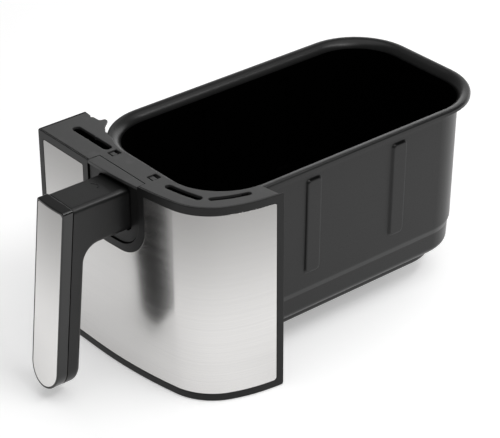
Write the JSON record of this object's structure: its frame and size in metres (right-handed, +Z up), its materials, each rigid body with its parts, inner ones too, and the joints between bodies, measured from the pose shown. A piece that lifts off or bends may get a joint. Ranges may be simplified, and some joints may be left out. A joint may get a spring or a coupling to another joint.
{
  "type": "air fryer drawer",
  "caption": "Pull-out air fryer drawer: deep non-stick pan with lift-out crisper plate, steel-faced plastic front with vented top cover, and an L-shaped handle with a steel inlay.",
  "frame": {"origin": "middle of the bottom of the bounding box, level with the bottom edge of the front panel", "axes": "+Y from the handle towards the back of the pan, +Z up, +X to the user's right"},
  "size_m": [0.1873, 0.3696, 0.16],
  "materials": {
    "pan_nonstick": "satin non-stick coating",
    "zinc_steel": "bright zinc plate",
    "silicone": "matte silicone",
    "black_plastic": "fine satin moulding",
    "cover_plastic": "satin moulding",
    "handle_plastic": "soft satin moulding",
    "gloss_black": "gloss",
    "brushed_steel": "fine brushed stainless"
  },
  "bodies": {
    "drawer": {"pan": "pan_nonstick", "pan_bracket": "zinc_steel", "front_frame": "black_plastic", "steel_fascia": "brushed_steel", "handle_bezel": "black_plastic", "top_cover": "cover_plastic", "rear_cover": "black_plastic", "handle_body": "handle_plastic", "handle_trim": "gloss_black", "handle_inlay": "brushed_steel", "handle_core": "zinc_steel", "pan_stud_1": "zinc_steel", "pan_stud_2": "zinc_steel", "pan_stud_3": "zinc_steel", "pan_stud_4": "zinc_steel", "pan_nut_1": "zinc_steel", "pan_nut_2": "zinc_steel", "pan_nut_3": "zinc_steel", "pan_nut_4": "zinc_steel", "housing_screw_1": "zinc_steel", "housing_screw_2": "zinc_steel", "housing_screw_3": "zinc_steel", "housing_screw_4": "zinc_steel", "handle_screw_1": "zinc_steel", "handle_screw_2": "zinc_steel", "grip_screw_1": "zinc_steel", "grip_screw_2": "zinc_steel"},
    "crisper": {"crisper_plate": "pan_nonstick", "crisper_bumper_front": "silicone", "crisper_bumper_back": "silicone", "crisper_bumper_left": "silicone", "crisper_bumper_right": "silicone"}
  },
  "joints": [
    {"name": "crisper_lift", "type": "slide", "parent": "drawer", "child": "crisper", "axis": [0, 0, 1], "range_m": [0, 0.13]}
  ]
}
